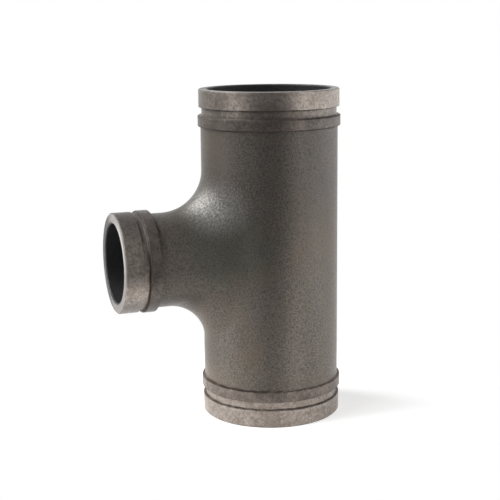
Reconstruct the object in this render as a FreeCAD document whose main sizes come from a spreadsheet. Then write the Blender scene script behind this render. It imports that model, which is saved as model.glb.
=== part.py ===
import FreeCAD, Part
import Sketcher
import enum
import os

# Grooved reducing tee, cast in one piece.
# The origin is the point where the run axis meets the branch axis.
# The run lies along Z, and the smaller branch leaves it along -X.

# Driving sizes in millimetres.
# A land is the plain ring at an end, the groove lies behind it, and the collar behind the groove.
SIZES = {
    "run_land_diameter": 108.0,
    "run_groove_diameter": 103.7,
    "run_collar_diameter": 109.6,
    "run_body_diameter": 105.5,
    "run_bore_diameter": 95.0,
    "run_centre_to_end": 127.0,
    "run_land_width": 13.5,
    "run_groove_width": 6.5,
    "run_collar_width": 8.3,
    "branch_land_diameter": 76.1,
    "branch_groove_diameter": 72.3,
    "branch_collar_diameter": 77.4,
    "branch_body_diameter": 71.5,
    "branch_bore_diameter": 60.0,
    "branch_centre_to_end": 125.0,
    "branch_land_width": 14.0,
    "branch_groove_width": 4.4,
    "branch_collar_width": 9.0,
    "crotch_radius": 34.0,
    "waterway_radius": 10.0,
    "collar_edge_radius": 0.8,
    "collar_root_radius": 0.8,
    "groove_root_radius": 0.5,
    "land_chamfer": 0.8,
    "mouth_chamfer": 0.8,
}

X_AXIS = FreeCAD.Vector(1, 0, 0)
Z_AXIS = FreeCAD.Vector(0, 0, 1)
FULL_TURN = 360.0
SAME = 0.001


class LineEnd(enum.IntEnum):
    """The sketcher's codes for the two ends of a line."""
    START = 1
    STOP = 2


class SketchAxis(enum.IntEnum):
    """The sketcher's codes for the two axes, which cross at the start of each."""
    ACROSS = -1
    UPRIGHT = -2


doc = FreeCAD.newDocument("grooved_reducing_tee")

sheet = doc.addObject("Spreadsheet::Sheet", "Sizes")
for row, (alias, value) in enumerate(SIZES.items(), start=1):
    sheet.set(f"A{row}", alias)
    sheet.set(f"B{row}", str(value))
    sheet.setAlias(f"B{row}", alias)
doc.recompute()

body = doc.addObject("PartDesign::Body", "TeeCasting")
body.Label = "tee_casting"


def named(alias):
    return float(sheet.get(alias))


def radius(pipe, wall):
    return named(f"{pipe}_{wall}_diameter") / 2


def station(pipe, *widths):
    """Distance from the centre to an end, less the widths that lie outside it."""
    return named(f"{pipe}_centre_to_end") - sum(named(f"{pipe}_{width}_width") for width in widths)


def front_plane():
    return next(plane for plane in body.Origin.OriginFeatures if plane.Role == "XZ_Plane")


def hold(sketch, line, across, upright):
    """Hold the start of a line at its two distances from the origin."""
    origin = (SketchAxis.ACROSS, LineEnd.START)
    for kind, distance, axis in (("DistanceX", across, SketchAxis.UPRIGHT),
                                 ("DistanceY", upright, SketchAxis.ACROSS)):
        if distance == "0":
            sketch.addConstraint(Sketcher.Constraint("PointOnObject", line, LineEnd.START, axis))
            continue
        place = sketch.evalExpression(distance)
        number = sketch.addConstraint(
            Sketcher.Constraint(kind, *origin, line, LineEnd.START, place))
        sketch.setExpression(f"Constraints[{number}]", distance)


def outline(name, corners):
    """A closed outline in the XZ plane through corners given as expressions."""
    sketch = body.newObject("Sketcher::SketchObject", name)
    sketch.AttachmentSupport = [(front_plane(), "")]
    sketch.MapMode = "FlatFace"
    points = [FreeCAD.Vector(sketch.evalExpression(across), sketch.evalExpression(upright), 0)
              for across, upright in corners]
    following = points[1:] + points[:1]
    for start, stop in zip(points, following):
        sketch.addGeometry(Part.LineSegment(start, stop))
    for line in range(len(corners)):
        following_line = (line + 1) % len(corners)
        sketch.addConstraint(
            Sketcher.Constraint("Coincident", line, LineEnd.STOP, following_line, LineEnd.START))
    for line, (across, upright) in enumerate(corners):
        hold(sketch, line, across, upright)
    doc.recompute()
    return sketch


def turned(kind, name, sketch, axis):
    """A full turn of an outline about one of its sketch's own axes."""
    feature = body.newObject(kind, name)
    feature.Profile = sketch
    feature.ReferenceAxis = (sketch, [axis])
    feature.Angle = FULL_TURN
    doc.recompute()
    return feature


def grooved_end(pipe):
    """Corners of a grooved end as (radius, station), from the body out to the axis."""
    end = f"Sizes.{pipe}_centre_to_end"
    land = f"({end} - Sizes.{pipe}_land_width)"
    groove = f"({land} - Sizes.{pipe}_groove_width)"
    collar = f"({groove} - Sizes.{pipe}_collar_width)"
    body_radius = f"Sizes.{pipe}_body_diameter / 2"
    collar_radius = f"Sizes.{pipe}_collar_diameter / 2"
    groove_radius = f"Sizes.{pipe}_groove_diameter / 2"
    land_radius = f"Sizes.{pipe}_land_diameter / 2"
    return [
        (body_radius, collar),
        (collar_radius, collar),
        (collar_radius, groove),
        (groove_radius, groove),
        (groove_radius, land),
        (land_radius, land),
        (land_radius, end),
        ("0", end),
    ]


def run_barrel():
    """The straight run, its two ends alike, turned about the upright axis."""
    upper = grooved_end("run")
    lower = [(across, f"-{upright}") for across, upright in reversed(upper)]
    return turned("PartDesign::Revolution", "RunBarrel", outline("RunOutline", lower + upper), "V_Axis")


def branch_stub():
    """The branch, turned about the level axis from the run's axis outwards."""
    outer = [(f"-{across}", upright) for upright, across in grooved_end("branch")]
    corners = [("0", "0"), ("0", "Sizes.branch_body_diameter / 2")] + outer
    return turned("PartDesign::Revolution", "BranchStub", outline("BranchOutline", corners), "H_Axis")


def run_waterway():
    """The straight bore through the run."""
    wall, end = "Sizes.run_bore_diameter / 2", "Sizes.run_centre_to_end"
    corners = [("0", f"-{end}"), (wall, f"-{end}"), (wall, end), ("0", end)]
    return turned("PartDesign::Groove", "RunWaterway", outline("RunBoreOutline", corners), "V_Axis")


def branch_waterway():
    """The bore of the branch, from its end face into the run's bore."""
    wall, end = "Sizes.branch_bore_diameter / 2", "Sizes.branch_centre_to_end"
    corners = [("0", "0"), ("0", wall), (f"-{end}", wall), (f"-{end}", "0")]
    return turned("PartDesign::Groove", "BranchWaterway", outline("BranchBoreOutline", corners), "H_Axis")


def along(direction, axis):
    """Does a direction lie along an axis, either way round?"""
    return direction.cross(axis).Length < SAME


def is_wall(surface, axis, wall_radius):
    """Is this the round wall of that radius about that axis?"""
    if not isinstance(surface, Part.Cylinder):
        return False
    return abs(surface.Radius - wall_radius) < SAME and along(surface.Axis, axis)


def crossing(shape, wall):
    """Names of the edges where this wall of the run meets the same wall of the branch."""
    names = []
    for number, edge in enumerate(shape.Edges, start=1):
        sides = [face.Surface for face in shape.ancestorsOfType(edge, Part.Face)]
        on_run = any(is_wall(side, Z_AXIS, radius("run", wall)) for side in sides)
        on_branch = any(is_wall(side, X_AXIS, radius("branch", wall)) for side in sides)
        if on_run and on_branch:
            names.append(f"Edge{number}")
    return names


def rings(shape, axis, circles):
    """Names of the edges that are circles about an axis, each given as (radius, station)."""
    names = []
    for number, edge in enumerate(shape.Edges, start=1):
        curve = edge.Curve
        if not isinstance(curve, Part.Circle) or not along(curve.Axis, axis):
            continue
        for ring_radius, ring_station in circles:
            off = abs(curve.Center.dot(axis) - ring_station)
            if abs(curve.Radius - ring_radius) < SAME and off < SAME:
                names.append(f"Edge{number}")
    return names


def end_rings(shape, circles_of):
    """The same rings on the run's two ends and on the branch's one."""
    names = []
    for pipe, axis, senses in (("run", Z_AXIS, (1, -1)), ("branch", X_AXIS, (-1,))):
        for sense in senses:
            circles = [(ring_radius, sense * place) for ring_radius, place in circles_of(pipe)]
            names += rings(shape, axis, circles)
    return names


def eased(kind, name, base, edges, amount):
    """A fillet or chamfer on named edges, its amount bound to a size."""
    feature = body.newObject(kind, name)
    feature.Base = (base, edges)
    feature.setExpression("Size" if kind.endswith("Chamfer") else "Radius", f"Sizes.{amount}")
    doc.recompute()
    return feature


def collar_edges(pipe):
    outer, inner = station(pipe, "land", "groove"), station(pipe, "land", "groove", "collar")
    return [(radius(pipe, "collar"), outer), (radius(pipe, "collar"), inner)]


def collar_roots(pipe):
    return [(radius(pipe, "body"), station(pipe, "land", "groove", "collar"))]


def groove_roots(pipe):
    outer, inner = station(pipe, "land"), station(pipe, "land", "groove")
    return [(radius(pipe, "groove"), outer), (radius(pipe, "groove"), inner)]


def land_edges(pipe):
    return [(radius(pipe, "land"), station(pipe))]


def mouth_edges(pipe):
    return [(radius(pipe, "bore"), station(pipe))]


def build_casting():
    """Outer form, crotch blend, waterways, then the eased edges."""
    run_barrel()
    step = branch_stub()
    edges = crossing(step.Shape, "body")
    step = eased("PartDesign::Fillet", "CrotchBlend", step, edges, "crotch_radius")
    solid_volume = step.Shape.Volume
    step = run_waterway()
    run_volume = step.Shape.Volume
    step = branch_waterway()
    if not step.Shape.Volume < run_volume < solid_volume:
        raise RuntimeError("a waterway cut nothing")
    edges = crossing(step.Shape, "bore")
    step = eased("PartDesign::Fillet", "WaterwayBlend", step, edges, "waterway_radius")
    step = eased("PartDesign::Fillet", "CollarRoots", step,
                 end_rings(step.Shape, collar_roots), "collar_root_radius")
    step = eased("PartDesign::Fillet", "CollarEdges", step,
                 end_rings(step.Shape, collar_edges), "collar_edge_radius")
    step = eased("PartDesign::Fillet", "GrooveRoots", step,
                 end_rings(step.Shape, groove_roots), "groove_root_radius")
    step = eased("PartDesign::Chamfer", "LandChamfers", step,
                 end_rings(step.Shape, land_edges), "land_chamfer")
    eased("PartDesign::Chamfer", "MouthChamfers", step,
          end_rings(step.Shape, mouth_edges), "mouth_chamfer")


def check(part):
    """Stop unless every object is sound and the casting is one valid solid."""
    for item in doc.Objects:
        if {"Invalid", "Error"} & set(item.State):
            raise RuntimeError(f"{item.Name} failed: {item.State}")
    shape = part.Shape
    if shape.isNull() or not shape.isValid() or len(shape.Solids) != 1:
        raise RuntimeError(f"{part.Label} isn't one valid solid")


build_casting()
doc.recompute()
check(body)
os.makedirs("parts", exist_ok=True)
body.Shape.exportStep(f"parts/{body.Label}.step")
print(body.Label, "volume", round(body.Shape.Volume), "mm3")
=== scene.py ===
import bpy
from mathutils import Matrix, Vector


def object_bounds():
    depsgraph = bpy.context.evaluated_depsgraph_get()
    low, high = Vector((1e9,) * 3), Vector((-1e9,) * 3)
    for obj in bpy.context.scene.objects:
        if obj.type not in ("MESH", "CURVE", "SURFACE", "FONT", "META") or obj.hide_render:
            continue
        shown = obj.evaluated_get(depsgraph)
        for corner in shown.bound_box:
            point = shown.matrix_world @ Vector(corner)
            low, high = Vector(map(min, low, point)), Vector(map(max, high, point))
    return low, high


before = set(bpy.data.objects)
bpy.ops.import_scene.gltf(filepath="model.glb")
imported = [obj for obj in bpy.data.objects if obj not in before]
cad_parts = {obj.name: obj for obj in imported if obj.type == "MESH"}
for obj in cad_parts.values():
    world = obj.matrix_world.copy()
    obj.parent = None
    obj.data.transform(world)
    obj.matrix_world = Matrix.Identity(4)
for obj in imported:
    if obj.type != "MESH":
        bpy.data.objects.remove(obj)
cad_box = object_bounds()

# Places are in metres from the crossing of the run (along Z) and the branch (towards -X).
# The photograph shows the side towards -Y.
MILLIMETRE = 0.001
RUN_END = cad_box[1].z
BRANCH_END = -cad_box[0].x
RUN_BORE_RADIUS, BRANCH_BORE_RADIUS = 0.0475, 0.0300
# Widths of the land, the groove and the collar of an end, from its face inwards.
RUN_WIDTHS = (0.0135, 0.0065, 0.0083)
BRANCH_WIDTHS = (0.0140, 0.0044, 0.0090)

# The photograph's camera, fitted to the object's outline, in the object's own frame.
CAMERA_PLACE = Vector((-0.31555, -0.83014, 0.18035))
CAMERA_RIGHT = Vector((0.94007, -0.34082, -0.01076))
CAMERA_UP = Vector((0.07750, 0.18282, 0.98009))
LENS, SENSOR = 83.0, 36.0

# Lamps: place to the right of, behind and above the object, width and height, and watts.
LAMPS = {
    "front_key": ((-0.80, -0.55, 0.78), (0.5, 0.5), 4.0),
    "low_key": ((-0.92, -0.22, 0.80), (0.6, 0.6), 10.6),
    "back_key": ((-0.80, 0.20, 1.00), (0.5, 0.5), 14.6),
    "front_fill": ((-0.55, -0.80, 0.45), (0.5, 0.5), 0.5),
    "right_box": ((0.95, 0.05, 0.10), (0.4, 1.1), 4.0),
    "right_front_box": ((0.82, -0.46, 0.10), (0.4, 1.1), 4.4),
    "right_rim": ((0.85, 0.45, 0.10), (0.35, 1.1), 2.2),
    "low_left": ((-0.42, -0.10, -0.07), (0.2, 0.1), 0.72),
    "low_right": ((0.42, -0.10, -0.07), (0.2, 0.1), 0.44),
}
# Light that reaches the object from all round.
OPEN_LIGHT = 0.05
# To the eye the floor glows a little near the object, so that only the shadow shows on it,
# and is plain white further out.
FLOOR_HALF_SIZE = 12.0
FLOOR_GLOW = 0.45
SHADOW_REACH = (0.06, 0.20)
FLOOR_PALE = (0.86, 0.86, 0.86, 1)
WHITE = (1, 1, 1, 1)

SKIN_DARK = (0.042, 0.040, 0.035, 1)
SKIN_LIGHT = (0.156, 0.133, 0.112, 1)
OXIDE_BROWN = (0.125, 0.092, 0.066, 1)
# Green-tinted painted shade for the join of the run and the branch.
SKIN_GREEN_SHADE = (0.050, 0.058, 0.045, 1)
COLLAR_DARK = (0.060, 0.050, 0.043, 1)
COLLAR_LIGHT = (0.145, 0.120, 0.105, 1)
MACHINED_DARK = (0.145, 0.124, 0.110, 1)
MACHINED_LIGHT = (0.275, 0.243, 0.220, 1)
DULLED = (0.120, 0.098, 0.082, 1)
FACE_DARK = (0.100, 0.091, 0.082, 1)
FACE_DULL = (0.135, 0.125, 0.116, 1)
FACE_BRIGHT = (0.170, 0.162, 0.152, 1)
BURR = (0.620, 0.590, 0.550, 1)
# The pale grey of the painted highlight in the hollow above the branch.
SADDLE_HIGHLIGHT_GREY = (0.235, 0.233, 0.224, 1)
CREVICE = (0.034, 0.025, 0.020, 1)
# Near-black painted shade for the bores.
BORE_SHADE_BLACK = (0.014, 0.014, 0.015, 1)
BORE_SHADE_GREY = (0.024, 0.024, 0.025, 1)

# Noises: scale, and detail and roughness where they aren't the usual ones.
MOTTLE = (850.0, 4.0, 0.65)
GRAIN = (1700.0, 3.0, 0.7)
PEBBLES = (380.0,)
OXIDE = (15.0, 3.0)
BLOTCHES = (130.0, 4.0, 0.6)
RINGS = (1.0, 4.0, 0.65)
PITS = (430.0, 4.0, 0.7)
PATCHES = (75.0, 5.0, 0.65)
FACE_WEAR = (220.0, 4.0)
NICKS = (150.0,)
LINE_BREAKS = (70.0,)
LINE_SWELLING = (170.0,)
# How close the turned rings lie, along each axis.
RUN_RINGS_STRETCH = (22.0, 22.0, 700.0)
BRANCH_RINGS_STRETCH = (700.0, 22.0, 22.0)
# Wandering shifts: scale and reach.
WAVER = (45.0, 1.4 * MILLIMETRE)
RAGGED = (260.0, 1.6 * MILLIMETRE)

# The ramps named from here on give where they start and stop, and what they yield there
# where that isn't 0 and 1.
UPPER_HALF = (0.0, 0.01)
LOW_PART = (-0.12, -0.06)


class Nodes:
    """Short names for building a shader's nodes and joining them."""

    def __init__(self, tree):
        self.tree = tree

    def add(self, kind, inputs=(), **settings):
        node = self.tree.nodes.new(kind)
        for name, value in settings.items():
            setattr(node, name, value)
        for socket, value in dict(inputs).items():
            self.feed(node.inputs[socket], value)
        return node

    def feed(self, socket, value):
        if isinstance(value, bpy.types.NodeSocket):
            self.tree.links.new(value, socket)
        else:
            socket.default_value = value

    def math(self, operation, first, second=0.0, third=0.0):
        node = self.add("ShaderNodeMath", {0: first, 1: second, 2: third}, operation=operation)
        return node.outputs[0]

    def ramp(self, value, low, high, start=0.0, stop=1.0):
        """A smooth step: start below low, stop above high."""
        node = self.add("ShaderNodeMapRange",
                        {"Value": value, "From Min": low, "From Max": high,
                         "To Min": start, "To Max": stop},
                        interpolation_type="SMOOTHSTEP")
        return node.outputs["Result"]

    def band(self, value, low, high, soft):
        """1 between low and high, 0 outside, with soft edges."""
        rising = self.ramp(value, low - soft / 2, low + soft / 2)
        falling = self.ramp(value, high - soft / 2, high + soft / 2, 1.0, 0.0)
        return self.math("MULTIPLY", rising, falling)

    def ridge(self, value, centre, half_width):
        """1 at a centre and 0 beyond half a width from it, on either side."""
        away = self.math("ABSOLUTE", self.math("SUBTRACT", value, centre))
        return self.ramp(away, 0.0, half_width, 1.0, 0.0)

    def mix(self, amount, first, second):
        """Between two colours, by an amount from 0 to 1."""
        node = self.add("ShaderNodeMix", {"Factor": amount}, data_type="RGBA")
        self.feed(node.inputs["A"], first)
        self.feed(node.inputs["B"], second)
        return node.outputs["Result"]

    def blend(self, amount, first, second):
        """Between two plain numbers, as mix is between two colours."""
        return self.add("ShaderNodeMix", {0: amount, 2: first, 3: second}).outputs[0]

    def largest(self, values):
        result = values[0]
        for value in values[1:]:
            result = self.math("MAXIMUM", result, value)
        return result

    def hypotenuse(self, first, second):
        squares = [self.math("MULTIPLY", side, side) for side in (first, second)]
        return self.math("SQRT", self.math("ADD", *squares))

    def noise(self, where, scale, detail=3.0, roughness=0.55):
        node = self.add("ShaderNodeTexNoise",
                        {"Vector": where, "Scale": scale, "Detail": detail, "Roughness": roughness})
        return node.outputs["Fac"]

    def wander(self, where, scale, reach):
        """A smooth shift that wanders by about a quarter of its reach either way."""
        return self.math("MULTIPLY", self.math("SUBTRACT", self.noise(where, scale), 0.5), reach)

    def scaled(self, colour, amount):
        node = self.add("ShaderNodeVectorMath", {0: colour, "Scale": amount}, operation="SCALE")
        return node.outputs[0]

    def stretched(self, where, factors):
        node = self.add("ShaderNodeVectorMath", {0: where, 1: factors}, operation="MULTIPLY")
        return node.outputs[0]

    def around(self, axes, centre, fade):
        """A ramp over the distance, seen along Y, from a centre given by its X and Z."""
        across = self.math("SUBTRACT", axes["X"], centre[0])
        up = self.math("SUBTRACT", axes["Z"], centre[1])
        return self.ramp(self.hypotenuse(across, up), *fade)

    def seen(self):
        """1 for the rays that show the background: to the eye, in gloss and through glass."""
        path = self.add("ShaderNodeLightPath").outputs
        mirrored = self.math("MAXIMUM", path["Is Glossy Ray"], path["Is Transmission Ray"])
        return self.math("MAXIMUM", path["Is Camera Ray"], mirrored)


def cleared(owner):
    """The nodes of a new material or world, with none in place yet."""
    owner.use_nodes = True
    owner.node_tree.nodes.clear()
    return Nodes(owner.node_tree)


# Half the thickness of the dark lines, over the noise of their swelling.
LINE_THICKNESS = (0.35, 0.65, 0.5 * MILLIMETRE, 1.2 * MILLIMETRE)


def unevenness(nodes, where):
    """How far the edges and the dark lines wander, and half the thickness of the lines."""
    return {
        "waver": nodes.wander(where, *WAVER),
        "ragged": nodes.wander(where, *RAGGED),
        "thickness": nodes.ramp(nodes.noise(where, *LINE_SWELLING), *LINE_THICKNESS),
    }


def end_zones(nodes, place, ragged, widths):
    """Masks for one kind of end, from the distance behind its face."""
    land, groove, collar = widths
    groove_far, collar_far = land + groove, land + groove + collar
    before_face = -1.0
    soft = 0.5 * MILLIMETRE
    edge_width = 0.7 * MILLIMETRE
    edges = [nodes.ridge(place, groove_far + 0.5 * MILLIMETRE, edge_width),
             nodes.ridge(place, collar_far - 0.4 * MILLIMETRE, edge_width)]
    torn = nodes.math("ADD", place, ragged)
    return {
        "land": nodes.band(place, before_face, land, soft),
        "groove": nodes.band(place, land, groove_far, soft),
        "collar": nodes.band(place, groove_far, collar_far, soft),
        "edge": nodes.largest(edges),
        "face": nodes.ramp(torn, 0.1 * MILLIMETRE, 0.6 * MILLIMETRE, 1.0, 0.0),
    }


# How strong the dark lines are. The run's line behind the groove is faint but for the upper right.
RUN_LAND_LINE, RUN_COLLAR_LINE = 0.9, 0.85
RUN_GROOVE_LINE, RUN_GROOVE_LINE_RISE = 0.1, 0.75
LINE_RIGHT = (-0.02, 0.02)
# On the branch, the strengths of all three change with Z.
BRANCH_LINES = ((0.006, 0.018), (0.004, 0.018, 1.0, 0.1), (-0.002, 0.008, 0.15, 1.0))
# How far the lines follow the ragged edges.
LINE_RAGGEDNESS = 0.6


def line_strengths(nodes, axes):
    """How strong the lines behind land, groove and collar are, on the run and on the branch."""
    x, z = axes["X"], axes["Z"]
    upper_right = nodes.math("MULTIPLY", nodes.ramp(z, *UPPER_HALF), nodes.ramp(x, *LINE_RIGHT))
    run_groove = nodes.math("MULTIPLY_ADD", upper_right, RUN_GROOVE_LINE_RISE, RUN_GROOVE_LINE)
    on_branch = [nodes.ramp(z, *ends) for ends in BRANCH_LINES]
    return (RUN_LAND_LINE, run_groove, RUN_COLLAR_LINE), on_branch


def end_lines(nodes, place, uneven, widths, strengths):
    """The dark lines behind a land, a groove and a collar, each as strong as given."""
    land, groove, collar = widths
    just_behind = 0.3 * MILLIMETRE
    thickness = uneven["thickness"]
    torn = nodes.math("MULTIPLY_ADD", uneven["ragged"], LINE_RAGGEDNESS, place)
    wavy = nodes.math("ADD", torn, uneven["waver"])
    lines = [nodes.ridge(torn, land + just_behind, thickness),
             nodes.ridge(wavy, land + groove, thickness),
             nodes.ridge(wavy, land + groove + collar + just_behind, thickness)]
    return [nodes.math("MULTIPLY", line, strength) for line, strength in zip(lines, strengths)]


# The branch's bore is painted dark with shade only on the branch's side of the run's axis.
BRANCH_SIDE = (0.0, 0.01)


def bores(nodes, out, run_radius, branch_radius):
    """The inside of the run and of the branch, from the distances to their axes."""
    in_run = nodes.ramp(run_radius, RUN_BORE_RADIUS + 0.5 * MILLIMETRE,
                        RUN_BORE_RADIUS + 1.2 * MILLIMETRE, 1.0, 0.0)
    in_branch = nodes.ramp(branch_radius, BRANCH_BORE_RADIUS + 0.8 * MILLIMETRE,
                           BRANCH_BORE_RADIUS + 1.6 * MILLIMETRE, 1.0, 0.0)
    in_branch = nodes.math("MULTIPLY", in_branch, nodes.ramp(out, *BRANCH_SIDE))
    return nodes.math("MAXIMUM", in_run, in_branch)


# Where the burrs are bright: on X and Y round the run's mouths, on Y and Z round the branch's.
BURR_LEFT = (-0.012, 0.004, 1.0, 0.0)
BURR_FRONT = (-0.02, 0.0, 1.0, 0.0)
RIM_FRONT = (-0.024, -0.004, 1.0, 0.0)
RIM_UPPER = (-0.012, 0.016, 0.0, 0.45)


def burrs(nodes, axes, run_radius, branch_radius):
    """Bright metal at the left front of the run's mouths, and less of it at the branch's near rim."""
    x, y, z = axes["X"], axes["Y"], axes["Z"]
    run_rim = nodes.band(run_radius, RUN_BORE_RADIUS - 0.5 * MILLIMETRE,
                         RUN_BORE_RADIUS + 1.6 * MILLIMETRE, MILLIMETRE)
    left_front = nodes.math("MULTIPLY", nodes.ramp(x, *BURR_LEFT), nodes.ramp(y, *BURR_FRONT))
    branch_rim = nodes.band(branch_radius, BRANCH_BORE_RADIUS + 2.0 * MILLIMETRE,
                            BRANCH_BORE_RADIUS + 4.5 * MILLIMETRE, MILLIMETRE)
    upper_front = nodes.math("MULTIPLY", nodes.ramp(y, *RIM_FRONT), nodes.ramp(z, *RIM_UPPER))
    on_run = nodes.math("MULTIPLY", run_rim, left_front)
    on_branch = nodes.math("MULTIPLY", branch_rim, upper_front)
    return nodes.math("ADD", on_run, on_branch)


# The distance out along the branch at which the run's finish gives way to the branch's.
BRANCH_START = (0.060, 0.070)


def zones(nodes, where, axes):
    """Masks for the lands, grooves, collars, edges, lines, end faces, burrs and bores, from the place."""
    x, y, z = axes["X"], axes["Y"], axes["Z"]
    out = nodes.math("MULTIPLY", x, -1.0)
    run_place = nodes.math("SUBTRACT", RUN_END, nodes.math("ABSOLUTE", z))
    branch_place = nodes.math("SUBTRACT", BRANCH_END, out)
    uneven = unevenness(nodes, where)
    ragged = uneven["ragged"]
    run = end_zones(nodes, run_place, ragged, RUN_WIDTHS)
    branch = end_zones(nodes, branch_place, ragged, BRANCH_WIDTHS)
    found = {name: nodes.math("MAXIMUM", run[name], branch[name]) for name in run}
    found["branch"] = nodes.ramp(out, *BRANCH_START)

    on_run, on_branch = line_strengths(nodes, axes)
    lines = (end_lines(nodes, run_place, uneven, RUN_WIDTHS, on_run)
             + end_lines(nodes, branch_place, uneven, BRANCH_WIDTHS, on_branch))
    found["line"] = nodes.largest(lines)

    run_radius = nodes.hypotenuse(x, y)
    ragged_run = nodes.math("ADD", run_radius, ragged)
    ragged_branch = nodes.math("ADD", nodes.hypotenuse(z, y), ragged)
    found["bore"] = bores(nodes, out, ragged_run, ragged_branch)
    bright = burrs(nodes, axes, run_radius, ragged_branch)
    found["burr"] = nodes.math("MULTIPLY", found["face"], bright)
    return found


# Ramps over the noises of the turned metal.
RING_TONE = (-0.1, 1.1)
DULL_MOTTLE = (0.46, 0.68, 0.0, 0.75)
DARK_PITS = (0.49, 0.62, 0.0, 0.85)
BRIGHT_PITS = (0.34, 0.50, 0.8, 0.0)
DULL_PATCHES = (0.36, 0.72, 0.0, 0.65)


def turned_iron(nodes, where, mottle, zone):
    """Turned iron that has dulled: faint rings, dark and bright pits, and brown patches."""
    run_rings = nodes.noise(nodes.stretched(where, RUN_RINGS_STRETCH), *RINGS)
    branch_rings = nodes.noise(nodes.stretched(where, BRANCH_RINGS_STRETCH), *RINGS)
    rings = nodes.blend(zone["branch"], run_rings, branch_rings)
    colour = nodes.mix(nodes.ramp(rings, *RING_TONE), MACHINED_DARK, MACHINED_LIGHT)
    colour = nodes.mix(nodes.ramp(mottle, *DULL_MOTTLE), colour, DULLED)
    pits = nodes.noise(where, *PITS)
    colour = nodes.mix(nodes.ramp(pits, *DARK_PITS), colour, DULLED)
    colour = nodes.mix(nodes.ramp(pits, *BRIGHT_PITS), colour, MACHINED_LIGHT)
    patches = nodes.ramp(nodes.noise(where, *PATCHES), *DULL_PATCHES)
    return nodes.mix(patches, colour, DULLED)


# Brightness of the run's cut metal, painted light and shade. The upper end is darker, with painted light
# at its right, more so on the land than in the groove, and paler in a stripe at its left. The lower end
# has painted light all round, most at its front.
UPPER_RIGHT = (-0.014, 0.012)
RIGHT_RISE, RIGHT_LAND_RISE = 0.55, 0.55
LEFT_STRIPE, LEFT_STRIPE_WIDTH, LEFT_LAND_WIDENING = -0.0390, 0.0095, 0.002
LEFT_RISE = 0.44
LOW_FRONT = (0.025, 0.050, 1.4, 2.0)
UPPER_CUT = 0.46
# The level direction of the side that the photograph shows.
FRONT_X, FRONT_Y = -0.35, -0.94


def run_cut_brightness(nodes, axes, land):
    """How bright the run's cut metal is at each place, by painted light and shade."""
    x, z = axes["X"], axes["Z"]
    # Painted light at the upper right.
    painted_light_right = nodes.math("MULTIPLY", nodes.ramp(x, *UPPER_RIGHT), nodes.ramp(z, *UPPER_HALF))
    rise = nodes.math("MULTIPLY_ADD", land, RIGHT_LAND_RISE, RIGHT_RISE)
    painted_light_right = nodes.math("MULTIPLY", painted_light_right, rise)
    front = nodes.math("MULTIPLY_ADD", x, FRONT_X, nodes.math("MULTIPLY", axes["Y"], FRONT_Y))
    # Painted light on the lower end, most at its front, and painted shade on the upper end.
    lower = nodes.ramp(z, *LOW_PART, nodes.ramp(front, *LOW_FRONT), UPPER_CUT)
    stripe_width = nodes.math("MULTIPLY_ADD", land, LEFT_LAND_WIDENING, LEFT_STRIPE_WIDTH)
    stripe = nodes.ridge(x, LEFT_STRIPE, stripe_width)
    stripe = nodes.math("MULTIPLY", stripe, nodes.ramp(z, *UPPER_HALF, 0.0, LEFT_RISE))
    return nodes.math("ADD", nodes.math("ADD", painted_light_right, lower), stripe)


# Painted light and shade on the branch's cut metal, on Z: darker above, paler below, darker again at the
# very bottom.
BRANCH_CUT_UPPER = (0.018, 0.036, 0.62, 0.25)
BRANCH_CUT_LOWER = (-0.017, 0.0, 0.78, 0.0)
BRANCH_CUT_BOTTOM = (-0.036, -0.018, -0.3, 0.0)


def branch_cut_brightness(nodes, z):
    """How bright the branch's cut metal is at each height, by painted light and shade."""
    bright = nodes.math("ADD", nodes.ramp(z, *BRANCH_CUT_UPPER), nodes.ramp(z, *BRANCH_CUT_LOWER))
    return nodes.math("ADD", bright, nodes.ramp(z, *BRANCH_CUT_BOTTOM))


# How much brighter the grooves are than the lands, on the lower run and on the branch: painted light that
# lifts their shade.
GROOVE_LIGHT_LOW = (-0.03, 0.0, 0.25, 0.0)
GROOVE_LIGHT_BRANCH = 0.45


def cut_metal(nodes, where, axes, mottle, zone):
    """The turned iron of the lands and grooves, as bright as the photograph shows it at each place."""
    colour = turned_iron(nodes, where, mottle, zone)
    # Painted light in the grooves, lifting their shade.
    groove_light = nodes.blend(zone["branch"], nodes.ramp(axes["Z"], *GROOVE_LIGHT_LOW), GROOVE_LIGHT_BRANCH)
    groove_light = nodes.math("MULTIPLY", zone["groove"], groove_light)
    colour = nodes.scaled(colour, nodes.math("ADD", groove_light, 1.0))
    # Painted light and shade over the lands and grooves, by place.
    on_run = run_cut_brightness(nodes, axes, zone["land"])
    on_branch = branch_cut_brightness(nodes, axes["Z"])
    return nodes.scaled(colour, nodes.blend(zone["branch"], on_run, on_branch))


# Ramps of the skin's and the collars' tone, over the mottle, the blotches and the place; those over the
# place are painted light and shade.
SKIN_TONE = (0.25, 0.75)
OXIDE_AREAS = (0.42, 0.72, 0.0, 0.5)
BLOTCH_TONE = (0.36, 0.64, 1.28, 0.72)
LOW_COLLAR = 1.7
UPPER_COLLAR = (-0.012, 0.002, 0.46, 0.62)
BRANCH_COLLAR = (-0.018, -0.002, 0.85, 0.48)
COLLAR_COVER = 0.85
JOIN_CENTRE = (-0.045, 0.010)
JOIN_FADE = (0.010, 0.042, 0.5, 0.0)
SKIN_HEIGHT = (-0.12, 0.06, 1.25, 0.48)
RIGHT_HEIGHT = (-0.10, 0.05, 1.0, 1.4)
RIGHT_START = (-0.014, 0.008)


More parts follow.
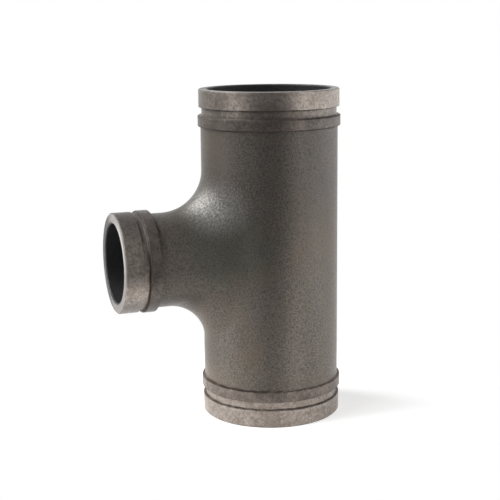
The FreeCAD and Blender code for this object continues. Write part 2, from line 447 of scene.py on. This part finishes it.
def collar_skin(nodes, where, axes, mottle, zone):
    """Browner, blotched skin on the collars, with painted shade above and painted light below."""
    x, z = axes["X"], axes["Z"]
    collar = nodes.mix(nodes.ramp(mottle, *SKIN_TONE), COLLAR_DARK, COLLAR_LIGHT)
    # Painted light on the lower run's collars and painted shade on the upper ones, less of it at the
    # right.
    on_run = nodes.ramp(z, *LOW_PART, LOW_COLLAR, nodes.ramp(x, *UPPER_COLLAR))
    # Painted shade on the branch's collar, higher up.
    on_branch = nodes.ramp(z, *BRANCH_COLLAR)
    collar = nodes.scaled(collar, nodes.blend(zone["branch"], on_run, on_branch))
    return nodes.scaled(collar, nodes.ramp(nodes.noise(where, *BLOTCHES), *BLOTCH_TONE))


def cast_skin(nodes, where, axes, mottle, zone):
    """Dark mottled skin with brown oxide, green-tinted painted shade at the join, painted light low down
    and at the right, and painted shade high up.
    """
    x, z = axes["X"], axes["Z"]
    colour = nodes.mix(nodes.ramp(mottle, *SKIN_TONE), SKIN_DARK, SKIN_LIGHT)
    colour = nodes.mix(nodes.ramp(nodes.noise(where, *OXIDE), *OXIDE_AREAS), colour, OXIDE_BROWN)
    # Painted shade, tinted green, at the join of the run and the branch.
    colour = nodes.mix(nodes.around(axes, JOIN_CENTRE, JOIN_FADE), colour, SKIN_GREEN_SHADE)
    # Painted light low down and painted shade high up.
    colour = nodes.scaled(colour, nodes.ramp(z, *SKIN_HEIGHT))
    collar = collar_skin(nodes, where, axes, mottle, zone)
    colour = nodes.mix(nodes.math("MULTIPLY", zone["collar"], COLLAR_COVER), colour, collar)
    # Painted light at the right, more of it higher up.
    return nodes.scaled(colour, nodes.ramp(x, *RIGHT_START, 1.0, nodes.ramp(z, *RIGHT_HEIGHT)))


# Upright painted light and shade. The first two are stripes, each with its centre, half width and change
# of tone.
DARK_STRIPE, DARK_STRIPE_WIDTH, DARK_STRIPE_TONE = -0.0195, 0.0135, -0.22
PALE_STRIPE, PALE_STRIPE_WIDTH, PALE_STRIPE_TONE = 0.001, 0.013, 0.28
LEFT_SIDE = (-0.045, -0.030, 1.0, 0.0)
LEFT_BELOW_BRANCH = (-0.018, 0.002, 0.2, 0.0)
UNDER_BRANCH = (-0.030, -0.018, -0.45, 0.0)
LOW_END = (-0.106, -0.098, 1.0, 0.0)
LOW_END_TONE = (-0.005, 0.012, 1.0, 0.85)


def painted_light_and_shade(nodes, axes, zone):
    """Painted shade down the run's middle and under the branch, painted light beside the middle and low
    at the left.
    """
    x, z = axes["X"], axes["Z"]
    darker = nodes.ridge(x, DARK_STRIPE, DARK_STRIPE_WIDTH)
    darker = nodes.math("MULTIPLY_ADD", darker, DARK_STRIPE_TONE, 1.0)
    paler = nodes.ridge(x, PALE_STRIPE, PALE_STRIPE_WIDTH)
    paler = nodes.math("MULTIPLY_ADD", paler, PALE_STRIPE_TONE, darker)
    left = nodes.math("MULTIPLY", nodes.ramp(x, *LEFT_SIDE), nodes.ramp(z, *LEFT_BELOW_BRANCH))
    under = nodes.math("MULTIPLY", zone["branch"], nodes.ramp(z, *UNDER_BRANCH))
    upright = nodes.math("ADD", paler, nodes.math("ADD", left, under))
    return nodes.blend(nodes.ramp(z, *LOW_END), upright, nodes.ramp(x, *LOW_END_TONE))


# The centre on X and Z of the painted highlight in the hollow above the branch, how it fades out, and its
# specks over the mottle.
SADDLE_CENTRE = (-0.055, 0.041)
SADDLE_FADE = (0.006, 0.028, 1.0, 0.0)
SADDLE_SPECKS = (0.35, 0.65, 0.3, 1.0)


def saddle_highlight(nodes, axes, mottle):
    """A painted highlight in specks on the hollow above the branch, where the skin is also smoother and
    more metallic.
    """
    near = nodes.around(axes, SADDLE_CENTRE, SADDLE_FADE)
    return nodes.math("MULTIPLY", near, nodes.ramp(mottle, *SADDLE_SPECKS))


# Ramps of the end faces: over their wear, on Z up the branch's face, and on Y to the far sides.
FACE_WORN = (0.35, 0.65)
BRANCH_FACE_HEIGHT = (0.012, 0.034, 0.92, 1.1)
FAR_SIDE = (0.0, 0.024, 1.0, 0.12)


def end_face(nodes, where, axes, zone):
    """Worn end faces, paler on the branch, dull at their far sides, with a burr at the mouths."""
    worn = nodes.ramp(nodes.noise(where, *FACE_WEAR), *FACE_WORN)
    on_run = nodes.mix(worn, FACE_DARK, FACE_DULL)
    on_branch = nodes.mix(worn, FACE_DULL, FACE_BRIGHT)
    on_branch = nodes.scaled(on_branch, nodes.ramp(axes["Z"], *BRANCH_FACE_HEIGHT))
    face = nodes.mix(zone["branch"], on_run, on_branch)
    face = nodes.scaled(face, nodes.ramp(axes["Y"], *FAR_SIDE))
    return nodes.mix(zone["burr"], face, BURR)


# How much of the skin each finish and the painted highlight cover, then ramps over the noises of nicks,
# gaps and bore.
HIGHLIGHT_COVER, GROOVE_COVER, LAND_COVER, FACE_COVER = 0.5, 0.85, 0.95, 0.9
NICK_DEPTH = (0.62, 0.70, 0.0, 0.6)
LINE_GAPS = (0.30, 0.45)
BORE_TONE = (0.3, 0.7)


def iron_colour(nodes, where, axes, mottle, highlight_patch, zone):
    """The skin, with every other finish laid over it in turn."""
    cut = cut_metal(nodes, where, axes, mottle, zone)
    colour = cast_skin(nodes, where, axes, mottle, zone)
    # The hollow above the branch is painted paler in specks: a painted highlight.
    colour = nodes.mix(nodes.math("MULTIPLY", highlight_patch, HIGHLIGHT_COVER), colour, SADDLE_HIGHLIGHT_GREY)
    colour = nodes.mix(nodes.math("MULTIPLY", zone["groove"], GROOVE_COVER), colour, cut)
    colour = nodes.mix(nodes.math("MULTIPLY", zone["land"], LAND_COVER), colour, cut)
    # Painted light and shade in upright stripes and under the branch.
    colour = nodes.scaled(colour, painted_light_and_shade(nodes, axes, zone))
    nicks = nodes.ramp(nodes.noise(where, *NICKS), *NICK_DEPTH)
    colour = nodes.mix(nodes.math("MULTIPLY", zone["edge"], nicks), colour, MACHINED_LIGHT)
    face = end_face(nodes, where, axes, zone)
    colour = nodes.mix(nodes.math("MULTIPLY", zone["face"], FACE_COVER), colour, face)
    breaks = nodes.ramp(nodes.noise(where, *LINE_BREAKS), *LINE_GAPS)
    colour = nodes.mix(nodes.math("MULTIPLY", zone["line"], breaks), colour, CREVICE)
    # The bores are painted near black: painted shade.
    bore = nodes.mix(nodes.ramp(mottle, *BORE_TONE), BORE_SHADE_BLACK, BORE_SHADE_GREY)
    return nodes.mix(zone["bore"], colour, bore)


# Roughness over the mottle, what the edges and the hollow's highlight patch add to it, and the metallic
# shine.
ROUGHNESS = (0.25, 0.75, 0.38, 0.26)
EDGE_ROUGHNESS, HIGHLIGHT_PATCH_ROUGHNESS = 0.3, 0.12
SKIN_SHINE, HIGHLIGHT_PATCH_SHINE = 0.05, 0.65
SPECULAR = 0.14


def roughness_and_shine(nodes, mottle, highlight_patch, zone):
    """How rough and how metallic the surface is, with no shine in the bores."""
    rough = nodes.ramp(mottle, *ROUGHNESS)
    rough = nodes.math("MULTIPLY_ADD", zone["edge"], EDGE_ROUGHNESS, rough)
    rough = nodes.math("MULTIPLY_ADD", highlight_patch, HIGHLIGHT_PATCH_ROUGHNESS, rough)
    shine = nodes.ramp(zone["bore"], 0.0, 1.0, SKIN_SHINE, 0.0)
    return rough, nodes.math("MULTIPLY_ADD", highlight_patch, HIGHLIGHT_PATCH_SHINE, shine)


# Heights of the grains, and the depth of the dark lines, as shares of the bump's distance.
MOTTLE_HEIGHT, GRAIN_HEIGHT, PEBBLE_HEIGHT, LINE_DEPTH = 0.9, 0.6, 0.9, 1.2
BUMP_STRENGTH, BUMP_DISTANCE = 0.5, 0.3 * MILLIMETRE


def cast_bump(nodes, where, mottle, zone):
    """The fine relief of sand-cast skin, with the dark lines sunk into it."""
    grain = nodes.noise(where, *GRAIN)
    grains = nodes.math("MULTIPLY", grain, GRAIN_HEIGHT)
    height = nodes.math("MULTIPLY_ADD", mottle, MOTTLE_HEIGHT, grains)
    height = nodes.math("MULTIPLY_ADD", nodes.noise(where, *PEBBLES), PEBBLE_HEIGHT, height)
    height = nodes.math("SUBTRACT", height, nodes.math("MULTIPLY", zone["line"], LINE_DEPTH))
    bump = nodes.add("ShaderNodeBump",
                     {"Strength": BUMP_STRENGTH, "Distance": BUMP_DISTANCE, "Height": height})
    return bump.outputs["Normal"]


def cast_iron():
    """Cast skin with paler turned lands and grooves, ragged end faces and bores painted near black with
    shade.
    """
    material = bpy.data.materials.new("cast_iron")
    nodes = cleared(material)
    where = nodes.add("ShaderNodeTexCoord").outputs["Object"]
    axes = nodes.add("ShaderNodeSeparateXYZ", {"Vector": where}).outputs
    zone = zones(nodes, where, axes)
    mottle = nodes.noise(where, *MOTTLE)
    highlight_patch = saddle_highlight(nodes, axes, mottle)
    colour = iron_colour(nodes, where, axes, mottle, highlight_patch, zone)
    rough, shine = roughness_and_shine(nodes, mottle, highlight_patch, zone)
    normal = cast_bump(nodes, where, mottle, zone)
    shader = nodes.add("ShaderNodeBsdfPrincipled",
                       {"Base Color": colour, "Roughness": rough, "Metallic": shine,
                        "Specular IOR Level": SPECULAR, "Normal": normal})
    nodes.add("ShaderNodeOutputMaterial", {"Surface": shader.outputs["BSDF"]})
    return material


def dress_casting():
    """The casting keeps its solid and gets its finish."""
    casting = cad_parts["tee_casting"]
    casting.data.materials.clear()
    casting.data.materials.append(cast_iron())


def floor_finish():
    """Pale to the light. To the eye it is plain white, but for the object's shadow near the object."""
    material = bpy.data.materials.new("floor_white")
    nodes = cleared(material)
    plain = nodes.add("ShaderNodeBsdfDiffuse", {"Color": FLOOR_PALE})
    glow = nodes.add("ShaderNodeEmission", {"Color": WHITE, "Strength": FLOOR_GLOW})
    near = nodes.add("ShaderNodeAddShader", {0: plain.outputs[0], 1: glow.outputs[0]})
    far = nodes.add("ShaderNodeEmission", {"Color": WHITE, "Strength": 1.0})
    where = nodes.add("ShaderNodeTexCoord").outputs["Object"]
    away = nodes.add("ShaderNodeVectorMath", {0: where}, operation="LENGTH").outputs["Value"]
    shown = nodes.add("ShaderNodeMixShader",
                      {0: nodes.ramp(away, *SHADOW_REACH), 1: near.outputs[0], 2: far.outputs[0]})
    both = nodes.add("ShaderNodeMixShader", {0: nodes.seen(), 1: plain.outputs[0], 2: shown.outputs[0]})
    nodes.add("ShaderNodeOutputMaterial", {"Surface": both.outputs[0]})
    return material


def white_floor():
    """A plain white floor under the lower end."""
    half = FLOOR_HALF_SIZE
    corners = [(-half, -half, 0), (half, -half, 0), (half, half, 0), (-half, half, 0)]
    mesh = bpy.data.meshes.new("floor")
    mesh.from_pydata(corners, [], [(0, 1, 2, 3)])
    mesh.materials.append(floor_finish())
    floor = bpy.data.objects.new("floor", mesh)
    floor.location.z = cad_box[0].z
    bpy.context.scene.collection.objects.link(floor)


def beside(right, back, up):
    """A place given as the camera sees it: to the right of the object, behind it, and up."""
    level_right = Vector((CAMERA_RIGHT.x, CAMERA_RIGHT.y, 0)).normalized()
    level_back = Vector((-level_right.y, level_right.x, 0))
    return level_right * right + level_back * back + Vector((0, 0, up))


def soft_lamp(name, place, size, power):
    """A rectangular lamp that points at the crossing of the run and the branch."""
    data = bpy.data.lights.new(name, "AREA")
    data.shape = "RECTANGLE"
    data.size, data.size_y = size
    data.energy = power
    lamp = bpy.data.objects.new(name, data)
    lamp.location = place
    lamp.rotation_mode = "QUATERNION"
    lamp.rotation_quaternion = (-place).to_track_quat("-Z", "Y")
    bpy.context.scene.collection.objects.link(lamp)


def surround():
    """White wherever it is seen, also in gloss and through glass, and plain open light for the rest."""
    world = bpy.data.worlds.new("surround")
    nodes = cleared(world)
    light = nodes.add("ShaderNodeBackground", {"Color": WHITE, "Strength": OPEN_LIGHT})
    white = nodes.add("ShaderNodeBackground", {"Color": WHITE, "Strength": 1.0})
    shown = nodes.add("ShaderNodeMixShader", {0: nodes.seen(), 1: light.outputs[0], 2: white.outputs[0]})
    nodes.add("ShaderNodeOutputWorld", {"Surface": shown.outputs[0]})
    bpy.context.scene.world = world


def studio():
    for name, (place, size, power) in LAMPS.items():
        soft_lamp(name, beside(*place), size, power)
    surround()


def photo_camera():
    data = bpy.data.cameras.new("camera")
    data.lens, data.sensor_width = LENS, SENSOR
    camera = bpy.data.objects.new("camera", data)
    back = CAMERA_RIGHT.cross(CAMERA_UP)
    turn = Matrix((CAMERA_RIGHT, CAMERA_UP, back)).transposed()
    camera.rotation_mode = "QUATERNION"
    camera.rotation_quaternion = turn.to_quaternion()
    camera.location = CAMERA_PLACE
    bpy.context.scene.collection.objects.link(camera)
    bpy.context.scene.camera = camera


dress_casting()
white_floor()
studio()
photo_camera()
bpy.context.scene.view_settings.view_transform = "Standard"
